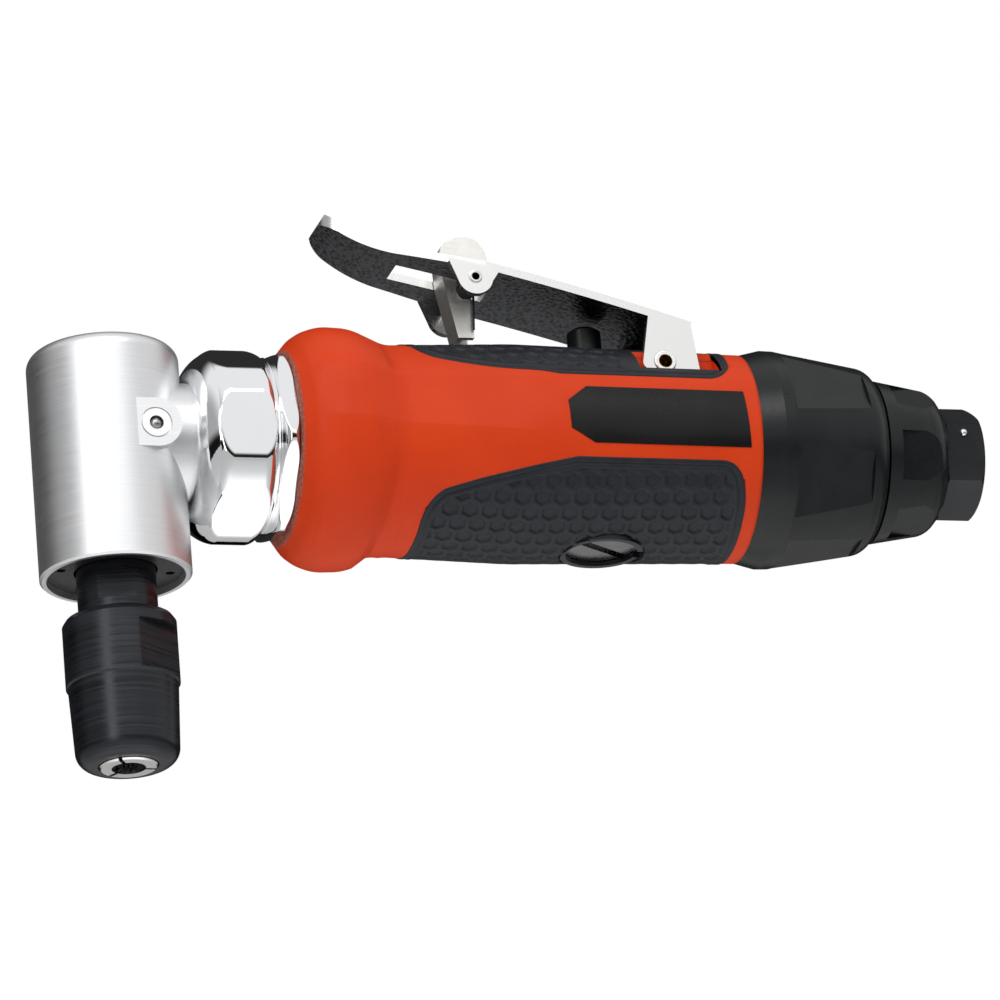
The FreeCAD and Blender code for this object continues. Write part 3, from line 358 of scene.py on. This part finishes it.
def snap_circle(bm, centre_x, radius, upward):
    """Cut a round hole through the skin, seen from above or below, its rim moved onto the circle."""
    side = 1 if upward else -1
    for vert in bm.verts:
        if (vert.co.z - AXIS_Z) * side < 0:
            continue
        dx, dy = vert.co.x - centre_x * MM, vert.co.y
        distance = math.hypot(dx, dy)
        if abs(distance - radius * MM) < SNAP_REACH * MM:
            vert.co.x = centre_x * MM + dx * radius * MM / distance
            vert.co.y = dy * radius * MM / distance
    inside = []
    for face in bm.faces:
        middle = face.calc_center_median()
        if (middle.z - AXIS_Z) * side < 0:
            continue
        if math.hypot(middle.x - centre_x * MM, middle.y) < radius * MM:
            inside.append(face)
    bmesh.ops.delete(bm, geom=inside, context="FACES")


def ring_wall(bm, centre_x, radius, inner, upward):
    """Round wall of a hole, from a height above or below the axis out to the handle's surface."""
    side = 1 if upward else -1
    count = 96
    rings = [[], []]
    for k in range(count):
        turn = 2 * math.pi * k / count
        x, y = centre_x + radius * math.cos(turn), radius * math.sin(turn)
        surface = math.sqrt((profile_at(x) - 0.05) ** 2 - y ** 2)
        for ring, height in zip(rings, (inner, surface)):
            ring.append(bm.verts.new((x * MM, y * MM, side * height * MM + AXIS_Z)))
    for k in range(count):
        following = (k + 1) % count
        bm.faces.new((rings[0][k], rings[0][following], rings[1][following], rings[1][k]))


def edge_height(outline, x):
    """Height of a grip's edge at x, from its outline points."""
    return np.interp(x, [p[0] for p in outline], [p[1] for p in outline])


def bend(points):
    """Outline points with arcs written out: (x, z) or (x, z, sagitta)."""
    out = [points[0][:2]]
    for point in points[1:]:
        x0, z0 = out[-1]
        x1, z1 = point[:2]
        bulge = point[2] if len(point) == 3 else 0.0
        steps = 14 if bulge else 6
        length = math.hypot(x1 - x0, z1 - z0)
        for k in range(1, steps + 1):
            t = k / steps
            push = 4 * bulge * t * (1 - t)
            out.append((x0 + (x1 - x0) * t - (z1 - z0) / length * push,
                        z0 + (z1 - z0) * t + (x1 - x0) / length * push))
    return out


LOWER_EDGE = bend([(52.3, -18.2), (52.35, -16.4), (56.2, -11.8, 0.75), (62.4, -10.2), (71.5, -8.2),
                   (79.5, -6.5), (105.7, -6.4), (110.3, -9.6, 1.0), (111.2, -14.0, 0.2), (111.3, -17.8)])
UPPER_EDGE = bend([(51.4, 18.3), (51.6, 17.6), (56.3, 12.9, -0.5), (74.3, 9.1, -0.6), (77.8, 8.45),
                   (105.2, 8.45), (109.8, 12.2, -0.9), (110.4, 16.5), (110.45, 17.9)])
# notches beside the lever's boss: both ends, the inner wall's distance from the middle, floor, wall top
NOTCH_X0, NOTCH_X1, NOTCH_SIDE, NOTCH_FLOOR, NOTCH_TOP = 93.0, 108.0, 8.9, 11.0, 16.35
PIN_HOLE = 2.03
CELL_PITCH = 3.6


def hex_distance(x, s):
    """Distance in mm from the centre of the nearest cell of the honeycomb, across its flats."""
    row_step = CELL_PITCH * math.sqrt(3) / 2
    best = np.full(np.broadcast(x, s).shape, FAR)
    nearest = np.round(s / row_step)
    for shift in (-1, 0, 1):
        row = nearest + shift
        offset = (row % 2) * CELL_PITCH / 2
        dx = np.abs(x - offset - np.round((x - offset) / CELL_PITCH) * CELL_PITCH)
        ds = np.abs(s - row * row_step)
        best = np.minimum(best, np.maximum(dx, dx * 0.5 + ds * 0.866))
    return best


def edge_distance(x, s, edge_x, edge_s):
    """Distance in mm from each point to the closed outline drawn on the unrolled surface."""
    best = np.full(x.shape, FAR)
    for k in range(len(edge_x)):
        ax, ay = edge_x[k - 1], edge_s[k - 1]
        bx, by = edge_x[k], edge_s[k]
        length = (bx - ax) ** 2 + (by - ay) ** 2
        if length < 1e-9:
            continue
        t = np.clip(((x - ax) * (bx - ax) + (s - ay) * (by - ay)) / length, 0, 1)
        best = np.minimum(best, np.hypot(x - ax - t * (bx - ax), s - ay - t * (by - ay)))
    return best


def grip_piece(name, edge, top, hole_radius, hex_end):
    """Rubber inlay over the top or under the handle, with a rim line and a honeycomb up to hex_end."""
    sign = 1 if top else -1
    columns = np.concatenate([np.linspace(edge[0][0], edge[0][0] + 1.2, 12)[:-1],
                              np.arange(edge[0][0] + 1.2, edge[-1][0] - 1.2, 0.24),
                              np.linspace(edge[-1][0] - 1.2, edge[-1][0], 12)])
    if top:
        columns = np.sort(np.concatenate([columns, [NOTCH_X0, NOTCH_X1]]))
    rows = 241
    spread = np.linspace(-1, 1, rows)
    radii = np.array([profile_at(x) for x in columns])
    heights = edge_height(edge, columns)
    limit = np.degrees(np.arccos(np.clip(sign * heights / radii, -1, 1)))
    edge_x = np.concatenate([columns, columns[::-1]])
    edge_s = np.concatenate([np.radians(limit) * radii, -(np.radians(limit) * radii)[::-1]])
    x = np.repeat(columns[:, None], rows, 1)
    lean = limit[:, None] * spread[None, :]
    s = np.radians(lean) * radii[:, None]
    inward = edge_distance(x, s, edge_x, edge_s)
    field = ease(inward, 2.3, 2.8) * (1 - ease(x, hex_end - 0.4, hex_end))
    height = 0.14 - 0.75 * (1 - ease(inward, 0.0, 0.5))
    height = height - 0.22 * ease(inward, 1.15, 1.35) * (1 - ease(inward, 1.55, 1.75))
    height = height - 0.10 * ease(inward, 2.1, 2.5)
    height = height - 0.36 * field * (1 - ease(hex_distance(x, s), 1.18, 1.42))
    around = lean if top else 180 + lean
    bm = bmesh.new()
    verts = []
    for section in zip(columns, around, height):
        verts += add_section(bm, *section)
    for face in grid_faces(len(columns), rows, False):
        bm.faces.new([verts[k] for k in face])
    snap_circle(bm, VALVE_X, hole_radius, top)
    if top:
        open_notches(bm, 0.12)
    # the border turns 1 mm inwards, so that the sheet shows no raw edge
    rim = [line for line in bm.edges if line.is_boundary]
    turned_in = bmesh.ops.extrude_edge_only(bm, edges=rim)["geom"]
    for vert in turned_in:
        if isinstance(vert, bmesh.types.BMVert):
            centre = Vector((vert.co.x, 0, AXIS_Z))
            vert.co += (centre - vert.co).normalized() * MM
    ring_wall(bm, VALVE_X, hole_radius, HOLE_END, top)
    finish_piece(name, bm, name.replace("rubber", "grip"), "grip_rubber")


def under_grip(x, around):
    """How far in mm the shell sinks below the grips, out of sight."""
    folded = np.abs((around + 180) % 360 - 180)
    radius = profile_at(x)
    z = np.cos(np.radians(folded)) * radius
    sunk = np.zeros_like(z)
    if LOWER_EDGE[0][0] + 1.0 < x < LOWER_EDGE[-1][0] - 1.0:
        sunk = np.maximum(sunk, ease(edge_height(LOWER_EDGE, x) - 0.9 - z, 0.0, 0.6))
    if UPPER_EDGE[0][0] + 1.0 < x < UPPER_EDGE[-1][0] - 1.0:
        sunk = np.maximum(sunk, ease(z - 0.9 - edge_height(UPPER_EDGE, x), 0.0, 0.6))
    return sunk * 1.1


def housing_piece():
    """Orange shell, turned, faceted and open at the notches and the two holes."""
    columns = np.concatenate([np.arange(FRONT_X, 52.0, 0.35), np.arange(52.0, NOTCH_X0, 0.6),
                              np.arange(NOTCH_X0, NOTCH_X1 + 0.01, 0.5), np.arange(108.6, 113.0, 0.6),
                              [REAR_X]])
    rows = 720
    around = np.linspace(0, 360, rows, endpoint=False)
    bm = bmesh.new()
    rings = []
    for x in columns:
        rings += add_section(bm, x, around, -under_grip(x, around))
    for face in grid_faces(len(columns), rows, True):
        bm.faces.new([rings[k] for k in face])
    # front ring face and rear shoulder
    for start, x, radius in ((0, FRONT_X, FRONT_BORE), (len(rings) - rows, REAR_X, REAR_BORE)):
        inner = add_circle(bm, x, around, radius)
        for k in range(rows):
            following = (k + 1) % rows
            bm.faces.new((rings[start + k], rings[start + following], inner[following], inner[k]))
    open_notches(bm, 0.09)
    for side in (-1, 1):
        add_notch(bm, side)
    snap_circle(bm, VALVE_X, PLUNGER_HOLE + BEHIND_GRIP, True)
    snap_circle(bm, VALVE_X, REGULATOR_HOLE + BEHIND_GRIP, False)
    finish_piece("handle_shell", bm, "handle_housing", "orange_plastic")


def open_notches(bm, reach):
    """Cut the skin away over the two notches beside the lever's boss."""
    for vert in bm.verts:
        if not NOTCH_X0 - 0.1 < vert.co.x / MM < NOTCH_X1 + 0.1:
            continue
        y, z = vert.co.y / MM, (vert.co.z - AXIS_Z) / MM
        if z > NOTCH_FLOOR and abs(abs(y) - NOTCH_SIDE) < reach:
            vert.co.y = math.copysign(NOTCH_SIDE, y) * MM
        if abs(y) > NOTCH_SIDE and abs(z - NOTCH_FLOOR) < reach:
            vert.co.z = NOTCH_FLOOR * MM + AXIS_Z
    doomed = []
    for face in bm.faces:
        middle = face.calc_center_median() / MM
        z = middle.z - AXIS_Z / MM
        if NOTCH_X0 < middle.x < NOTCH_X1 and z > NOTCH_FLOOR and abs(middle.y) > NOTCH_SIDE:
            doomed.append(face)
    bmesh.ops.delete(bm, geom=doomed, context="FACES")


def add_notch(bm, side):
    """Walls and floor of the notch for one rear ear of the lever."""
    steps = 31
    floor_in, floor_out = [], []
    for k in range(steps):
        x = NOTCH_X0 + (NOTCH_X1 - NOTCH_X0) * k / (steps - 1)
        outer = math.sqrt(profile_at(x) ** 2 - NOTCH_FLOOR ** 2)
        floor_in.append(bm.verts.new((x * MM, side * NOTCH_SIDE * MM, NOTCH_FLOOR * MM + AXIS_Z)))
        floor_out.append(bm.verts.new((x * MM, side * outer * MM, NOTCH_FLOOR * MM + AXIS_Z)))
    for k in range(steps - 1):
        bm.faces.new((floor_in[k], floor_in[k + 1], floor_out[k + 1], floor_out[k]))
    count = 48
    for k in range(count):
        # wall between the pin's hole and the notch's border, fanned out from the hole
        turns = [2 * math.pi * (k + n) / count for n in (0, 1)]
        near, far = [], []
        for turn in turns:
            dx, dz = math.cos(turn), math.sin(turn)
            reach = min((NOTCH_X1 - PIN_X) / dx if dx > 1e-6 else FAR,
                        (NOTCH_X0 - PIN_X) / dx if dx < -1e-6 else FAR,
                        (NOTCH_FLOOR - PIN_Z) / dz if dz < -1e-6 else FAR,
                        (NOTCH_TOP - PIN_Z) / dz if dz > 1e-6 else FAR)
            near.append((PIN_X + PIN_HOLE * dx, PIN_Z + PIN_HOLE * dz))
            far.append((PIN_X + reach * dx, PIN_Z + reach * dz))
        bm.faces.new([bm.verts.new((x * MM, side * NOTCH_SIDE * MM, z * MM + AXIS_Z))
                      for x, z in (near[0], far[0], far[1], near[1])])
    for x in (NOTCH_X0, NOTCH_X1):
        radius = profile_at(x)
        first = math.atan2(NOTCH_FLOOR, math.sqrt(radius ** 2 - NOTCH_FLOOR ** 2))
        last = math.atan2(math.sqrt(radius ** 2 - NOTCH_SIDE ** 2), NOTCH_SIDE)
        corners = [bm.verts.new((x * MM, side * NOTCH_SIDE * MM, NOTCH_FLOOR * MM + AXIS_Z))]
        for k in range(13):
            turn = first + (last - first) * k / 12
            corners.append(bm.verts.new((x * MM, side * radius * math.cos(turn) * MM,
                                         radius * math.sin(turn) * MM + AXIS_Z)))
        bm.faces.new(corners)


def resampled(points, step):
    """The same outline with its points evenly spaced."""
    line = np.array(points)
    along = np.concatenate([[0], np.cumsum(np.hypot(*np.diff(line, axis=0).T))])
    even = np.linspace(0, along[-1], int(along[-1] / step) + 1)
    return list(zip(np.interp(even, along, line[:, 0]), np.interp(even, along, line[:, 1])))


def smooth_least(first, second, blend):
    """The smaller of two radii, with the change from one to the other rounded."""
    h = np.clip(0.5 + 0.5 * (second - first) / blend, 0, 1)
    return second * (1 - h) + first * h - blend * h * (1 - h)


def nut_piece(name, turned, apothem, turn, blend):
    """Hexagon nut about the handle's axis: flats cut into a turned blank, every edge rounded."""
    outline = resampled(bend(turned), 0.1)
    rows = 720
    around = np.linspace(0, 360, rows, endpoint=False)
    flats = np.full(rows, FAR)
    for k in range(6):
        lean = np.radians(around - 30 - turn - 60 * k)
        facing = np.cos(lean) > 0.3
        flat = np.where(facing, apothem / np.where(facing, np.cos(lean), 1.0), FAR)
        flats = smooth_least(flats, flat, blend)
    bm = bmesh.new()
    verts = add_circle(bm, outline[0][0], around, NUT_BORE)
    for x, radius in outline:
        verts += add_circle(bm, x, around, smooth_least(np.full(rows, radius), flats, blend))
    verts += add_circle(bm, outline[-1][0], around, NUT_BORE)
    for face in grid_faces(len(outline) + 2, rows, True):
        bm.faces.new([verts[k] for k in face])
    finish_piece(name + "_skin", bm, name, "chrome_plate")


nut_piece("clamp_nut", [(13.4, 11.9), (16.5, 16.0, 0.5), (18.6, 17.05, 0.15), (24.4, 17.05),
                        (26.4, 15.95, 0.2)], apothem=16.0, turn=6.0, blend=0.3)
nut_piece("jam_nut", [(26.5, 15.2), (27.05, 15.95, 0.15), (27.6, 15.3, -0.1), (28.5, 17.3, 0.15),
                      (29.5, 17.5, 0.1), (30.5, 15.5, 0.25)], apothem=15.5, turn=-17.0, blend=0.2)
housing_piece()
grip_piece("lower_rubber", LOWER_EDGE, top=False, hole_radius=REGULATOR_HOLE, hex_end=112.0)
grip_piece("top_rubber", UPPER_EDGE, top=True, hole_radius=PLUNGER_HOLE, hex_end=90.0)


# ------------------------------------------------------------------ stage and light
def add_floor():
    mesh = bpy.data.meshes.new("floor")
    mesh.from_pydata([(-4, -4, -0.85), (4, -4, -0.85), (4, 4, -0.85), (-4, 4, -0.85)], [], [(0, 1, 2, 3)])
    floor = bpy.data.objects.new("floor", mesh)
    scene.collection.objects.link(floor)
    mesh.materials.append(plain("floor_paint", (0.86, 0.86, 0.86), (0.84, 0.84, 0.84), 0.0, (0.7, 0.8),
                                40).material)


def add_world():
    """White to the camera; light above, dark at eye level and behind for the metal to reflect."""
    world = bpy.data.worlds.new("studio")
    scene.world = world
    world.use_nodes = True
    tree = world.node_tree
    tree.nodes.clear()

    def new(kind, **values):
        node = tree.nodes.new(kind)
        for key, value in values.items():
            setattr(node, key, value)
        return node

    def step(value, low, high, out_low, out_high):
        node = new("ShaderNodeMapRange", interpolation_type="SMOOTHSTEP")
        tree.links.new(value, node.inputs["Value"])
        for key, number in zip(("From Min", "From Max", "To Min", "To Max"), (low, high, out_low, out_high)):
            node.inputs[key].default_value = number
        return node.outputs["Result"]

    def times(first, second):
        node = new("ShaderNodeMath", operation="MULTIPLY")
        tree.links.new(first, node.inputs[0])
        tree.links.new(second, node.inputs[1])
        return node.outputs[0]

    parts = new("ShaderNodeSeparateXYZ")
    tree.links.new(new("ShaderNodeTexCoord").outputs["Generated"], parts.inputs[0])
    above = step(parts.outputs["Z"], -0.04, 0.15, 0.02, 1.1)
    behind = step(parts.outputs["Y"], 0.10, 0.50, 1.0, 0.03)
    left = step(parts.outputs["X"], -0.90, -0.60, 0.45, 1.0)
    room = new("ShaderNodeBackground")
    room.inputs["Strength"].default_value = 0.8
    tree.links.new(times(times(above, behind), left), room.inputs["Color"])
    white = new("ShaderNodeBackground")
    white.inputs["Color"].default_value = (1, 1, 1, 1)
    both = new("ShaderNodeMixShader")
    tree.links.new(new("ShaderNodeLightPath").outputs["Is Camera Ray"], both.inputs[0])
    tree.links.new(room.outputs[0], both.inputs[1])
    tree.links.new(white.outputs[0], both.inputs[2])
    tree.links.new(both.outputs[0], new("ShaderNodeOutputWorld").inputs["Surface"])


def add_light(name, place, aim, size, power):
    data = bpy.data.lights.new(name, "AREA")
    data.shape = "RECTANGLE"
    data.size, data.size_y = size
    data.energy = power
    light = bpy.data.objects.new(name, data)
    scene.collection.objects.link(light)
    light.location = place
    light.rotation_euler = (Vector(aim) - Vector(place)).to_track_quat("-Z", "Y").to_euler()


add_floor()
add_world()
add_light("key", (-0.15, -0.80, 0.75), (0.06, 0, 0.06), (1.0, 0.35), 4.0)
add_light("left", (-0.75, -0.80, 0.15), (0.02, 0, 0.05), (0.30, 0.8), 2.2)
add_light("floor_wash", (0.06, 0.05, -0.60), (0.06, 0.05, -0.85), (1.3, 1.3), 5.5)
